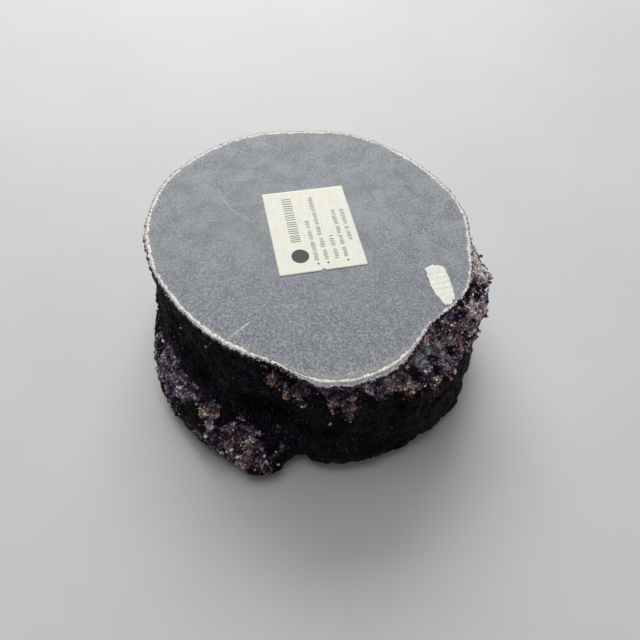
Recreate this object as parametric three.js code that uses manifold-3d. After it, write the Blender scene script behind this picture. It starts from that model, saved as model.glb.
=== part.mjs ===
// A tealight holder made from a natural amethyst cluster, lying turned over on a table.
//
// The stone is one piece: a dark crust with crystals on its broken ledges and all over the side
// that faces up in use. Its underside is sawn flat and painted, with a paper label and what is
// left of an older sticker on the paint. A round socket, drilled into the crystal side, takes a
// tealight in an aluminium cup. The holder lies upside down here, so its painted base faces +Z,
// it stands on its crystal side at z = 0, and the socket's mouth points down. The loose tealight
// has dropped onto the table inside the socket.
import * as THREE from "three";
import { mergeVertices } from "three/addons/utils/BufferGeometryUtils.js";
import Module from "manifold-3d";

const wasm = await Module();
wasm.setup();

// ---- Driving dimensions, in millimetres ----
const BASE_RADIUS = 46.5; // mean radius of the sawn face
const HEIGHT = 43; // from the crystal tips to the painted face
const COAT_THICKNESS = 0.8;
const GLUE_GAP = 0.05; // between layers that are stuck together
const CUT_Z = HEIGHT - COAT_THICKNESS - GLUE_GAP; // height of the sawn stone face
const RIM_WIDTH = 1.3; // bare sawn stone outside the paint
const RIM_BEVEL = 0.9; // the sawn edge is ground off by this much
const LABEL = { width: 25, length: 32, thickness: 0.2, x: 0, y: 1.7, turn: 16.3 };
const LABEL_NICK = 0.9; // a small tear in the label's edge
const STICKER_THICKNESS = 0.25;
const SOCKET_RADIUS = 20.25;
const SOCKET_DEPTH = 22; // from the crystal tips to the flat end of the socket
const CUP = { radius: 19, height: 16, wall: 0.3, lip: 0.5 };
const WAX_RECESS = 3.5; // from the cup's rim to the wax
const WAX_GAP = 0.15;
const WICK_RADIUS = 0.9;
const WICK_STICKS_OUT = 3.1;
const SUSTAINER = { radius: 7.5, thickness: 0.3, tubeRadius: 1.6, tubeHeight: 4 };

const STONE_TURNS = 108; // facets round the stone
const ROUND_STEPS = 48; // facets round the socket and the tealight
const WICK_STEPS = 12;
const MERGE_DISTANCE = 1e-4;
const CUT_MARGIN = 1; // how far a cutting tool runs past the face it opens

// ---- The stone's sections ----
// Radii as shares of BASE_RADIUS, every 20 degrees anticlockwise from +X, seen from above.
const SECTIONS = [
  { z: CUT_Z, name: "sawn edge", radii: [
    1, 1.028, 1.012, 1.014, 1.022, 1, 1.035, 1.05, 1.064,
    1.042, 0.998, 0.957, 0.946, 0.96, 1.055, 1.035, 0.954, 1.018] },
  { z: CUT_Z - 3, name: "collar", radii: [
    1.05, 1.035, 1.022, 1.025, 1.035, 1.015, 1.045, 1.06, 1.07,
    1.045, 1.003, 0.97, 0.958, 0.965, 1.062, 1.05, 1.03, 1.115] },
  { z: CUT_Z - 12, name: "shoulder", radii: [
    1.11, 1.045, 1.04, 1.05, 1.06, 1.05, 1.07, 1.08, 1.06,
    1.02, 1, 1.01, 1.0, 1.0, 1.1, 1.12, 1.185, 1.165] },
  { z: CUT_Z - 26, name: "belly", radii: [
    1.155, 1.09, 1.1, 1.12, 1.11, 1.1, 1.11, 1.12, 1.1,
    1.045, 1.06, 1.13, 1.12, 1.06, 1.14, 1.2, 1.23, 1.19] },
  { z: 5, name: "foot", radii: [
    1.19, 1.14, 1.15, 1.15, 1.13, 1.13, 1.13, 1.12, 1.1,
    1.08, 1.12, 1.2, 1.25, 1.25, 1.21, 1.24, 1.26, 1.23] },
];

// Lumps and hollows on the wall: where, how wide, and how far out (mm, negative is inwards).
const WALL_FEATURES = [
  { name: "crystal lobe, left end", angle: -118, z: 12, spread: 9, height: 6, out: 2.9 },
  { name: "crystal lobe, right end", angle: -101, z: 7, spread: 9, height: 7, out: 3 },
  { name: "hollow over the lobe", angle: -101, z: 20, spread: 14, height: 4.5, out: -4.8 },
  { name: "notch beside the lobe", angle: -88, z: 4, spread: 4, height: 9, out: -3.5 },
  { name: "pocket under the rim", angle: -96, z: 38, spread: 7, height: 2.6, out: -3.4 },
  { name: "fissure", angle: -76, z: 31, spread: 2.6, height: 8, out: -2.2 },
  { name: "ledge corner", angle: -52, z: 30, spread: 6, height: 4, out: 3 },
  { name: "dent under the ledge", angle: -64, z: 28, spread: 7, height: 7, out: -2.6 },
  { name: "hollow in the ledge", angle: -38, z: 36, spread: 11, height: 2.6, out: -1.8 },
  { name: "end of the ledge", angle: -8, z: 39, spread: 8, height: 7, out: 3.2 },
  { name: "left bulge", angle: -148, z: 16, spread: 12, height: 5, out: 1 },
  { name: "rear lobe", angle: 62, z: 10, spread: 16, height: 8, out: 2.4 },
  { name: "rear hollow", angle: 105, z: 24, spread: 14, height: 7, out: -2.6 },
  { name: "rear ledge", angle: 150, z: 29, spread: 12, height: 4, out: 2.2 },
];

// Waves that roughen the wall: how high (mm), how many round the stone, and how steeply they lean.
const WALL_WAVES = [
  { height: 0.5, count: 11, lean: 0.35 },
  { height: 0.35, count: 23, lean: -0.6 },
  { height: 0.3, count: 17, lean: 1.1 },
];
const WAVES_START = 6; // the waves reach full height this far below the sawn face
const FEATURES_START = 3; // and the features this far
const FOOT_Z = SECTIONS.at(-1).z;

// The crystal side: crests that stand on the table, and a slope up to the socket's mouth.
const CREST_LEVEL = 1.1;
const CRESTS = [
  { height: 1.5, count: 5, twist: 0, shift: 0.6 },
  { height: 0.7, count: 9, twist: 0.25, shift: 0 },
];
const MOUTH = { height: 3.6, slopeFrom: 22, slopeTo: 31 }; // radii where the slope starts and ends
const FOOT_STEP = { in: 1.6, height: 2.2 }; // the rounded edge between wall and crystal side

// What is left of the old sticker: points round its torn outline, from the stone's middle.
const STICKER_OUTLINE = [
  [32.5, -10.1], [34.1, -8.8], [36.2, -8.5], [38.1, -9.4], [38.8, -12], [39.6, -14.6], [40, -17.9],
  [40.2, -19.7], [38.2, -21.7], [36.4, -20.8], [35.4, -18.7], [33.9, -16.3], [33.1, -12.6],
];

const radians = THREE.MathUtils.degToRad;

/** Cubic between b and c, with the neighbours a and d. */
function catmullRom(a, b, c, d, t) {
  const start = (c - a) / 2;
  const end = (d - b) / 2;
  return b + t * (start + t * (3 * (c - b) - 2 * start - end + t * (start + end - 2 * (c - b))));
}

/** A section's radius in mm at an angle in degrees, on a smooth closed curve through its values. */
function sectionRadius(section, angle) {
  const { radii } = section;
  const at = (((angle % 360) + 360) % 360) / (360 / radii.length);
  const i = Math.floor(at);
  const value = (k) => radii[(i + k + radii.length) % radii.length];
  return BASE_RADIUS * catmullRom(value(-1), value(0), value(1), value(2), at - i);
}

/** How strongly a wall feature acts at an angle and height, from 0 to 1. */
function featureShare(feature, angle, z) {
  const turn = (((angle - feature.angle + 180) % 360) + 360) % 360 - 180;
  return Math.exp(-((turn / feature.spread) ** 2) - ((z - feature.z) / feature.height) ** 2);
}

/** The stone's outer radius at an angle in degrees and a height: sections, features and waves. */
function wallRadius(angle, z) {
  const last = SECTIONS.length - 1;
  const clamped = (k) => SECTIONS[THREE.MathUtils.clamp(k, 0, last)];
  let i = 0;
  while (i < last - 1 && z < SECTIONS[i + 1].z) i += 1;
  const t = THREE.MathUtils.clamp((SECTIONS[i].z - z) / (SECTIONS[i].z - SECTIONS[i + 1].z), 0, 1);
  const radius = catmullRom(...[-1, 0, 1, 2].map((k) => sectionRadius(clamped(i + k), angle)), t);
  const features = WALL_FEATURES.reduce(
    (sum, feature) => sum + feature.out * featureShare(feature, angle, z), 0);
  const waves = WALL_WAVES.reduce(
    (sum, wave) => sum + wave.height * Math.sin(wave.count * radians(angle) + wave.lean * z), 0);
  const depth = CUT_Z - z; // the sawn edge itself keeps its outline
  return radius + features * Math.min(1, depth / FEATURES_START) + waves * Math.min(1, depth / WAVES_START);
}

/** Height of the crystal side over the table at an angle and a radius. */
function crystalSideHeight(angle, radius) {
  const crests = CRESTS.reduce(
    (sum, crest) =>
      sum + crest.height * Math.sin(crest.count * radians(angle) + crest.twist * radius + crest.shift),
    CREST_LEVEL);
  const outside = THREE.MathUtils.smoothstep(radius, MOUTH.slopeFrom, MOUTH.slopeTo);
  return THREE.MathUtils.lerp(MOUTH.height, Math.max(0, crests), outside);
}

/** A point at an angle in degrees and a radius. */
function polar(angle, radius) {
  return [radius * Math.cos(radians(angle)), radius * Math.sin(radians(angle))];
}

/** The angles, in degrees, of the facets round the stone. */
const stoneAngles = Array.from({ length: STONE_TURNS }, (_, i) => (360 * i) / STONE_TURNS);

/** The sawn face's outline, moved inwards. */
function sawnOutline(inset) {
  const points = stoneAngles.map((angle) => polar(angle, sectionRadius(SECTIONS[0], angle) - inset));
  return new THREE.Shape(points.map(([x, y]) => new THREE.Vector2(x, y)));
}

function extrude(shape, thickness, z) {
  return new THREE.ExtrudeGeometry(shape, { depth: thickness, bevelEnabled: false }).translate(0, 0, z);
}

/** A three.js geometry as a manifold solid. */
function toSolid(geometry) {
  const plain = geometry.index ? geometry.toNonIndexed() : geometry.clone();
  plain.deleteAttribute("normal");
  plain.deleteAttribute("uv");
  const merged = mergeVertices(plain, MERGE_DISTANCE);
  return new wasm.Manifold(new wasm.Mesh({
    numProp: 3,
    vertProperties: new Float32Array(merged.attributes.position.array),
    triVerts: new Uint32Array(merged.index.array),
  }));
}

/** A manifold solid as a three.js geometry. */
function toGeometry(solid) {
  const { numProp, numVert, vertProperties, triVerts } = solid.getMesh();
  const positions = new Float32Array(numVert * 3);
  for (let i = 0; i < numVert; i += 1) {
    positions.set(vertProperties.subarray(i * numProp, i * numProp + 3), i * 3);
  }
  return new THREE.BufferGeometry()
    .setAttribute("position", new THREE.BufferAttribute(positions, 3))
    .setIndex(new THREE.BufferAttribute(new Uint32Array(triVerts), 1));
}

function cut(geometry, ...tools) {
  return toGeometry(tools.reduce((solid, tool) => solid.subtract(toSolid(tool)), toSolid(geometry)));
}

/** A closed body of revolution about Z from [radius, z] points that start and end on the axis. */
function turned(profile, steps = ROUND_STEPS) {
  return new THREE.LatheGeometry(profile.map(([r, z]) => new THREE.Vector2(r, z)), steps)
    .rotateX(Math.PI / 2);
}

function disc(radius, fromZ, toZ, steps = ROUND_STEPS) {
  return turned([[0, fromZ], [radius, fromZ], [radius, toZ], [0, toZ]], steps);
}

// ---- The stone ----

/** The rings that skin the stone, from the sawn face's edge down the wall and in to the mouth. */
function stoneRings() {
  const ring = (place) => stoneAngles.map((angle) => {
    const [radius, z] = place(angle);
    return new THREE.Vector3(...polar(angle, radius), z);
  });
  const wallHeights = [CUT_Z - RIM_BEVEL, 39.5, 37.5, 35, 32, 29, 26, 23, 20, 17, 14, 11, 8, FOOT_Z];
  const stepsIn = [4.5, 10, 16, 22]; // from the foot
  return [
    ring((angle) => [wallRadius(angle, CUT_Z) - RIM_BEVEL, CUT_Z]),
    ...wallHeights.map((z) => ring((angle) => [wallRadius(angle, z), z])),
    ring((angle) => [wallRadius(angle, FOOT_Z) - FOOT_STEP.in, FOOT_STEP.height]),
    ...stepsIn.map((step) => ring((angle) => {
      const radius = wallRadius(angle, FOOT_Z) - step;
      return [radius, crystalSideHeight(angle, radius)];
    })),
    ring(() => [MOUTH.slopeFrom, MOUTH.height]),
  ];
}

function stoneGeometry() {
  const rings = stoneRings();
  const points = rings.flat();
  const top = points.push(new THREE.Vector3(0, 0, CUT_Z)) - 1;
  const bottom = points.push(new THREE.Vector3(0, 0, MOUTH.height)) - 1;
  const index = [];
  for (let i = 0; i < STONE_TURNS; i += 1) {
    const next = (i + 1) % STONE_TURNS;
    index.push(top, i, next);
    for (let k = 0; k + 1 < rings.length; k += 1) {
      const [upper, lower] = [k * STONE_TURNS, (k + 1) * STONE_TURNS];
      index.push(upper + i, lower + i, lower + next, upper + i, lower + next, upper + next);
    }
    const inner = (rings.length - 1) * STONE_TURNS;
    index.push(inner + i, bottom, inner + next);
  }
  const blank = new THREE.BufferGeometry().setFromPoints(points).setIndex(index);
  return cut(blank, disc(SOCKET_RADIUS, -CUT_MARGIN, SOCKET_DEPTH));
}

// ---- The painted base ----

function coatGeometry() {
  return extrude(sawnOutline(RIM_WIDTH), COAT_THICKNESS, HEIGHT - COAT_THICKNESS);
}

function stickerGeometry() {
  const [first, ...rest] = STICKER_OUTLINE.map(([x, y]) => new THREE.Vector2(x, y));
  const outline = new THREE.Shape().moveTo(first.x, first.y);
  outline.splineThru([...rest, first]);
  const solid = new THREE.ExtrudeGeometry(outline, {
    depth: STICKER_THICKNESS, bevelEnabled: false, curveSegments: 2,
  });
  return solid.translate(0, 0, HEIGHT + GLUE_GAP);
}

function labelGeometry() {
  const [x, y] = [LABEL.width / 2, LABEL.length / 2];
  const label = new THREE.Shape();
  label.moveTo(-x, -y);
  label.lineTo(-LABEL_NICK, -y);
  label.lineTo(0, -y + LABEL_NICK);
  label.lineTo(LABEL_NICK / 2, -y);
  label.lineTo(x, -y);
  label.lineTo(x, y);
  label.lineTo(-x, y);
  return extrude(label, LABEL.thickness, 0);
}

// ---- The tealight, mouth down, with its rim at z = 0 ----

function cupGeometry() {
  const { radius, height, wall, lip } = CUP;
  return turned([
    [0, height - wall], [radius - 1.4, height - wall], [radius - 0.6 - wall, height - 1.4],
    [radius - wall, 1], [radius - wall, 0], [radius + lip, 0], [radius + lip, 0.6],
    [radius, 0.9], [radius - 0.6, height - 1.2], [radius - 1.5, height], [0, height],
  ]);
}

const WAX_TOP = CUP.height - CUP.wall - WAX_GAP; // the face of the wax on the cup's foot

/** The wax body, with room for the sustainer and the wick. */
function waxGeometry() {
  const wallRadiusInside = CUP.radius - CUP.wall;
  const fill = turned([
    [0, WAX_RECESS], [wallRadiusInside - 1.6, WAX_RECESS], [wallRadiusInside - 0.35, WAX_RECESS - 0.5],
    [wallRadiusInside - 1.2, WAX_TOP - 1.3], [wallRadiusInside - 1.7, WAX_TOP], [0, WAX_TOP],
  ]);
  const roomAround = (radius, depth, steps) =>
    disc(radius + WAX_GAP, WAX_TOP - depth - WAX_GAP, WAX_TOP + CUT_MARGIN, steps);
  const { radius, thickness, tubeRadius, tubeHeight } = SUSTAINER;
  return cut(
    fill,
    roomAround(radius, thickness),
    roomAround(tubeRadius, thickness + tubeHeight),
    roomAround(WICK_RADIUS, WAX_TOP, WICK_STEPS));
}

/** A pressed steel tab with a crimped tube that holds the wick upright. */
function sustainerGeometry() {
  const { radius, thickness, tubeRadius, tubeHeight } = SUSTAINER;
  const bore = WICK_RADIUS + WAX_GAP / 2;
  const tabZ = WAX_TOP - thickness;
  const tubeZ = tabZ - tubeHeight;
  return turned([
    [bore, WAX_TOP], [bore, tubeZ], [tubeRadius, tubeZ], [tubeRadius, tabZ], [radius, tabZ],
    [radius, WAX_TOP], [bore, WAX_TOP],
  ]);
}

function wickGeometry() {
  const tipZ = WAX_RECESS - WICK_STICKS_OUT;
  return disc(WICK_RADIUS, tipZ, WAX_TOP - WAX_GAP, WICK_STEPS);
}

// ---- Assembly ----

function piece(name, geometry, color, roughness, metalness = 0) {
  geometry.computeVertexNormals();
  const mesh = new THREE.Mesh(geometry, new THREE.MeshStandardMaterial({ color, roughness, metalness }));
  mesh.name = name;
  return mesh;
}

const stone = piece("amethyst_stone", stoneGeometry(), 0x1b141d, 0.55);
const coat = piece("base_coat", coatGeometry(), 0x4c5058, 0.8);
const sticker = piece("sticker_remnant", stickerGeometry(), 0xeeeee2, 0.85);
const label = piece("paper_label", labelGeometry(), 0xe3e2d2, 0.75);
label.position.set(LABEL.x, LABEL.y, HEIGHT + GLUE_GAP);
label.rotation.z = radians(LABEL.turn);

const tealight = new THREE.Group();
tealight.add(
  piece("tealight_cup", cupGeometry(), 0xc4c6c8, 0.35, 0.9),
  piece("tealight_wax", waxGeometry(), 0xf1ece0, 0.5),
  piece("wick_sustainer", sustainerGeometry(), 0xb9b9b6, 0.4, 0.9),
  piece("tealight_wick", wickGeometry(), 0xe9e3d2, 0.95),
);

const holder = new THREE.Group();
holder.add(stone, coat, label, sticker, tealight);

// The frame's origin is under the middle of the stone's own box, on the table.
const box = new THREE.Box3().setFromObject(stone);
holder.position.set(-(box.min.x + box.max.x) / 2, -(box.min.y + box.max.y) / 2, 0);

const part = new THREE.Group();
part.add(holder);
export default part;
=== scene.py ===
"""The looks of a rough amethyst tealight holder that lies upside down, built round its CAD frame.

Everything is in metres in the frame's own axes. MM turns the millimetres that sizes are given in
into metres. Angles are in degrees, anticlockwise from +X round the middle of the painted base.
"""

import math

import bmesh
import bpy
import numpy as np
from mathutils import Matrix, Vector, noise


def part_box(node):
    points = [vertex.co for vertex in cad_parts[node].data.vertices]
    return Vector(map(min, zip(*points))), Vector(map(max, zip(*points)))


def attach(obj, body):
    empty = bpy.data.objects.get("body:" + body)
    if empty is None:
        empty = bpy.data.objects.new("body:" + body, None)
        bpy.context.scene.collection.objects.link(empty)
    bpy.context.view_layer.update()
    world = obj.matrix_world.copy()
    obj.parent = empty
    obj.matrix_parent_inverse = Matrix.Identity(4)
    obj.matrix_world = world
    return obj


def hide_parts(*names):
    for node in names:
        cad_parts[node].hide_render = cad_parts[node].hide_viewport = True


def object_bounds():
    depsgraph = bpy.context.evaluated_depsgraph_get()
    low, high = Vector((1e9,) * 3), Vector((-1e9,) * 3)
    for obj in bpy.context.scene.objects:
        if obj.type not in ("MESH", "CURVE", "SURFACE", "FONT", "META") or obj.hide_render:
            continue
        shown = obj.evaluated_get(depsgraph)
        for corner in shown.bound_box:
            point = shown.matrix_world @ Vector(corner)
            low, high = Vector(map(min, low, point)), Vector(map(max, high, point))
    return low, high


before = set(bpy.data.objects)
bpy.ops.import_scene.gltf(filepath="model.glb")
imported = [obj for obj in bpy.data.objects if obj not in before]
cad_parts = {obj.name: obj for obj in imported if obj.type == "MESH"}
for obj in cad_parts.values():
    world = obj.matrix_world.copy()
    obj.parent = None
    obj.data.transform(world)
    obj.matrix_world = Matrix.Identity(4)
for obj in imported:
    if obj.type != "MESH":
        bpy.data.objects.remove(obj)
cad_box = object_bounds()

MM = 0.001
SEED = 7


def middle(node):
    """The middle of a CAD node's box."""
    low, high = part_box(node)
    return (low + high) / 2


# ---- Places, from the frame ----
AXIS = middle("tealight_cup").to_2d()  # the socket, the tealight and the base share this axis
PAINT_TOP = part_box("base_coat")[1].z
SAWN_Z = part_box("amethyst_stone")[1].z
BASE_RADIUS = 46.5 * MM
SOCKET_RADIUS = 20.25 * MM
SOCKET_DEPTH = 22 * MM


# ---- Mesh helpers ----


def add_object(name, data, material=None):
    made = bpy.data.objects.new(name, data)
    bpy.context.scene.collection.objects.link(made)
    if material:
        data.materials.append(material)
    return made


def piece(name, mesh, material, replaces=(), body="holder"):
    """An object that rides on a CAD body, takes a slot's finish and stands for CAD nodes."""
    made = add_object(name, mesh, material)
    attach(made, body)
    if replaces:
        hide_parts(*replaces)
    return made


def mesh_from(name, vertices, faces, smooth=True):
    mesh = bpy.data.meshes.new(name)
    mesh.from_pydata([tuple(v) for v in vertices], [], [tuple(f) for f in faces])
    mesh.update()
    if smooth:
        mesh.shade_smooth()
    else:
        mesh.shade_flat()
    return mesh


def mesh_of(name, made):
    """A mesh from a bmesh, which is freed."""
    mesh = bpy.data.meshes.new(name)
    made.to_mesh(mesh)
    made.free()
    return mesh


def tube_faces(rows, steps, closed=False):
    """Quads between rows of points that go once round; closed joins the last row to the first."""
    faces = []
    for row in range(rows if closed else rows - 1):
        low = row * steps
        high = (row + 1) % rows * steps
        for k in range(steps):
            after = (k + 1) % steps
            faces.append((low + k, low + after, high + after, high + k))
    return faces


def fan_faces(first, steps, hub):
    """Triangles between a hub and a row of points that starts at an index."""
    return [(first + k, first + (k + 1) % steps, hub) for k in range(steps)]


def flipped(faces):
    return [face[::-1] for face in faces]


def coordinates(mesh):
    found = np.zeros(len(mesh.vertices) * 3)
    mesh.vertices.foreach_get("co", found)
    return found.reshape(-1, 3)


def set_coordinates(mesh, points):
    mesh.vertices.foreach_set("co", np.asarray(points, float).ravel())
    mesh.update()


def normals(mesh):
    found = np.zeros(len(mesh.vertices) * 3)
    mesh.vertex_normals.foreach_get("vector", found)
    return found.reshape(-1, 3)


def read_attribute(mesh, name):
    values = np.zeros(len(mesh.vertices), np.float32)
    mesh.attributes[name].data.foreach_get("value", values)
    return values


def set_looks(mesh, looks, repeats=1):
    """Gives a mesh attributes by name; each value goes to a number of vertices in a row."""
    for name, values in looks.items():
        attribute = mesh.attributes.new(name, "FLOAT", "POINT")
        attribute.data.foreach_set("value", np.repeat(values, repeats).astype(np.float32))


def with_modifiers(obj):
    """The object's mesh with its modifiers applied."""
    depsgraph = bpy.context.evaluated_depsgraph_get()
    return bpy.data.meshes.new_from_object(obj.evaluated_get(depsgraph))


def units(vectors):
    """The vectors, each 1 long."""
    return vectors / np.linalg.norm(vectors, axis=-1, keepdims=True)


def smoothstep(low, high, value):
    t = np.clip((value - low) / (high - low), 0, 1)
    return t * t * (3 - 2 * t)


def polar(points):
    """Angle in degrees and radius of points round the axis."""
    x = points[:, 0] - AXIS.x
    y = points[:, 1] - AXIS.y
    return np.degrees(np.arctan2(y, x)), np.hypot(x, y)


def place(angle, radius, z):
    """Points at angles in degrees, radii and heights."""
    a = np.radians(angle)
    return np.stack([AXIS.x + radius * np.cos(a), AXIS.y + radius * np.sin(a), z + 0 * a], -1)


def turn_between(angle, centre):
    """The angle from a centre, from -180 to 180 degrees."""
    return (angle - centre + 180) % 360 - 180


def fractal(points, size, octaves=4, shift=0.0):
    """Fractal noise with features of about a size in mm: mostly between -0.5 and 0.5."""
    return np.array([noise.fractal(p, 0.9, 2.1, octaves) for p in points / (size * MM) + shift])


def facets(points, size, shift=0.0):
    """Broken stone: each cell of about a size in mm is a plane with its own tilt.

    Gives heights as shares of the size, mostly between -0.5 and 0.5, and a number from 0 to 1 per cell.
    """
    heights, numbers = [], []
    for point in map(Vector, points / (size * MM) + shift):
        centre = noise.voronoi(point)[1][0]
        tilt = noise.cell_vector(centre * 1000)
        heights.append((point - centre).dot(2 * tilt - Vector((1, 1, 1))) + 0.4 * (tilt.x - 0.5))
        numbers.append(tilt.y)
    return np.array(heights), np.array(numbers)


def outline_of(node):
    """A function from angles to the radius of a CAD node's top edge."""
    points = coordinates(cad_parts[node].data)
    top = points[points[:, 2] > points[:, 2].max() - 0.01 * MM]
    angle, radius = polar(top)
    rim = radius > SOCKET_RADIUS
    order = np.argsort(angle[rim])
    known_angles = angle[rim][order]
    known_radii = radius[rim][order]
    return lambda at: np.interp(turn_between(at, 0), known_angles, known_radii, period=360)


paint_edge = outline_of("base_coat")


def revolve(name, profile, steps, ribs=None):
    """A closed body of revolution from (radius, z) points in mm that start and end on the axis.

    ribs(radius, z, angle) gives how far a point moves outwards, for fluted walls.
    """
    vertices = []
    for radius, z in profile[1:-1]:
        for k in range(steps):
            a = 2 * math.pi * k / steps
            r = (radius + (ribs(radius, z, a) if ribs else 0)) * MM
            vertices.append((AXIS.x + r * math.cos(a), AXIS.y + r * math.sin(a), z * MM))
    first = len(vertices)
    vertices += [(AXIS.x, AXIS.y, z * MM) for _, z in (profile[0], profile[-1])]
    rows = len(profile) - 2
    ends = flipped(fan_faces(0, steps, first)) + fan_faces((rows - 1) * steps, steps, first + 1)
    return mesh_from(name, vertices, tube_faces(rows, steps) + ends)


# ---- Material helpers ----


class Shader:
    """A material whose nodes are added by short calls. Sizes and depths are in mm."""

    def __init__(self, name, **settings):
        self.material = bpy.data.materials.new(name)
        self.material.use_nodes = True
        self.tree = self.material.node_tree
        self.out = self.tree.nodes["Principled BSDF"]
        self.place = self.add("TexCoord").outputs["Object"]
        self.set(**settings)

    def add(self, kind, inputs=None, **settings):
        """A node with its settings; inputs are by name or number."""
        node = self.tree.nodes.new("ShaderNode" + kind)
        for key, value in settings.items():
            setattr(node, key, value)
        for key, value in (inputs or {}).items():
            self.feed(node.inputs[key], value)
        return node

    def feed(self, socket, value):
        if isinstance(value, bpy.types.NodeSocket):
            self.tree.links.new(value, socket)
        elif socket.type == "RGBA":
            socket.default_value = (*value, 1)
        else:
            socket.default_value = value

    def set(self, **inputs):
        for key, value in inputs.items():
            self.feed(self.out.inputs[key.replace("_", " ")], value)

    def noise(self, size, detail=4, roughness=0.55, stretch=None, distortion=0.0):
        """Noise from 0 to 1 with features of about a size."""
        where = self.place
        if stretch:
            where = self.add("Mapping", {"Vector": where, "Scale": stretch}).outputs[0]
        inputs = {
            "Vector": where, "Scale": 1 / (size * MM), "Detail": detail, "Roughness": roughness,
            "Distortion": distortion,
        }
        return self.add("TexNoise", inputs).outputs["Fac"]

    def attribute(self, name):
        return self.add("Attribute", attribute_name=name).outputs["Fac"]

    def ramp(self, value, *stops):
        """A colour ramp; each stop is a position and a colour or a grey."""
        node = self.add("ValToRGB", {"Fac": value})
        elements = node.color_ramp.elements
        while len(elements) < len(stops):
            elements.new(0.5)
        for element, (position, colour) in zip(elements, stops):
            element.position = position
            element.color = (*colour, 1) if isinstance(colour, tuple) else (colour, colour, colour, 1)
        return node.outputs["Color"]

    def mix(self, share, first, second):
        """Colours from the first to the second by a share."""
        node = self.add("Mix", data_type="RGBA")
        colours = [socket for socket in node.inputs if socket.type == "RGBA"]
        for socket, value in zip((node.inputs[0], *colours), (share, first, second)):
            self.feed(socket, value)
        return next(socket for socket in node.outputs if socket.type == "RGBA")

    def sum(self, value, times, more):
        """A value times a number, and more."""
        return self.add("Math", {0: value, 1: times, 2: more}, operation="MULTIPLY_ADD").outputs[0]

    def bump(self, *layers):
        """Adds bumps, each a height and a depth, one on top of another."""
        normal = None
        for height, depth in layers:
            inputs = {"Height": height, "Distance": depth * MM, "Strength": 1.0}
            if normal:
                inputs["Normal"] = normal
            normal = self.add("Bump", inputs).outputs["Normal"]
        self.set(Normal=normal)


# ---- Materials ----
# Quartz from nearly black to white by its tint: clean, through violet and lilac, and stained with rust.
CLEAN = [
    (0.0, (0.002, 0.0015, 0.003)), (0.22, (0.010, 0.007, 0.014)), (0.38, (0.048, 0.031, 0.074)),
    (0.54, (0.17, 0.118, 0.25)), (0.7, (0.40, 0.325, 0.49)), (0.85, (0.70, 0.63, 0.71)),
    (1.0, (0.93, 0.90, 0.88)),
]
RUSTY = [
    (0.0, (0.003, 0.002, 0.002)), (0.22, (0.014, 0.007, 0.006)), (0.38, (0.070, 0.032, 0.022)),
    (0.54, (0.25, 0.108, 0.060)), (0.7, (0.56, 0.28, 0.155)), (0.85, (0.84, 0.58, 0.40)),
    (1.0, (0.95, 0.89, 0.81)),
]


def quartz_colour(shader):
    """Quartz by the mesh's tint and its share of rust."""
    tint = shader.attribute("tint")
    return shader.mix(shader.attribute("rust"), shader.ramp(tint, *CLEAN), shader.ramp(tint, *RUSTY))


def stone_material():
    """Nearly black crust, broken quartz, and a smooth slate face."""
    shader = Shader("stone_crust", Specular_IOR_Level=0.06)
    lumps = shader.noise(2.2, 6, 0.65, distortion=0.6)
    streaks = shader.noise(0.9, 6, 0.75, stretch=(1.0, 1.0, 0.3), distortion=1.2)
    grain = shader.noise(0.35, 3)
    broad = shader.noise(8, 3)
    black = shader.ramp(
        lumps, (0.40, (0.0010, 0.0007, 0.0012)), (0.55, (0.004, 0.003, 0.005)), (0.66, (0.018, 0.014, 0.020)))
    scratched = shader.ramp(
        streaks, (0.47, (0.0016, 0.0012, 0.0018)), (0.56, (0.022, 0.018, 0.026)),
        (0.64, (0.085, 0.074, 0.098)))
    crust = shader.mix(shader.ramp(broad, (0.45, 0.08), (0.6, 0.9)), black, scratched)
    quartz = shader.mix(
        shader.ramp(lumps, (0.42, 0.9), (0.58, 0.4)), quartz_colour(shader), (0.006, 0.004, 0.007))
    sides = shader.mix(shader.attribute("druse"), crust, quartz)
    slate = shader.ramp(lumps, (0.4, (0.026, 0.031, 0.042)), (0.6, (0.16, 0.17, 0.19)))
    veined = shader.mix(shader.ramp(streaks, (0.52, 0.0), (0.57, 0.9)), slate, (0.66, 0.68, 0.67))
    shader.set(Base_Color=shader.mix(shader.attribute("slab"), sides, veined))
    shader.set(Roughness=shader.ramp(streaks, (0.35, 0.38), (0.65, 0.75)))
    shader.bump((lumps, 0.5), (streaks, 0.3), (grain, 0.1))
    return shader.material


def sawn_material():
    """The ground edge of the sawn face: cream, lilac towards the outside, and black below it."""
    shader = Shader("sawn_quartz", Specular_IOR_Level=0.3, Roughness=0.6)
    grain = shader.noise(0.4, 5, 0.7)
    patches = shader.noise(2.6, 5, 0.7)
    ragged = shader.ramp(shader.noise(0.8, 6, 0.75), (0.36, 0.0), (0.64, 1.0))
    cream = shader.ramp(
        grain, (0.38, (0.42, 0.39, 0.35)), (0.48, (0.80, 0.77, 0.70)), (0.58, (0.97, 0.95, 0.88)))
    lilac = shader.ramp(grain, (0.38, (0.20, 0.15, 0.22)), (0.6, (0.62, 0.54, 0.63)))
    outwards = shader.sum(patches, 0.8, shader.attribute("outwards"))
    ground = shader.mix(shader.ramp(outwards, (0.8, 0.0), (1.15, 0.8)), cream, lilac)
    band = shader.ramp(grain, (0.4, (0.06, 0.06, 0.065)), (0.6, (0.21, 0.21, 0.22)))
    ground = shader.mix(shader.attribute("band"), ground, band)
    downwards = shader.sum(ragged, 0.75, shader.attribute("downwards"))
    below = shader.ramp(downwards, (0.7, 0.0), (1.0, 1.0))
    crust = shader.ramp(
        patches, (0.42, (0.002, 0.0015, 0.0025)), (0.54, (0.020, 0.015, 0.025)), (0.64, (0.12, 0.09, 0.15)))
    shader.set(Base_Color=shader.mix(below, ground, crust))
    shader.bump((grain, 0.12))
    return shader.material


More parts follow.
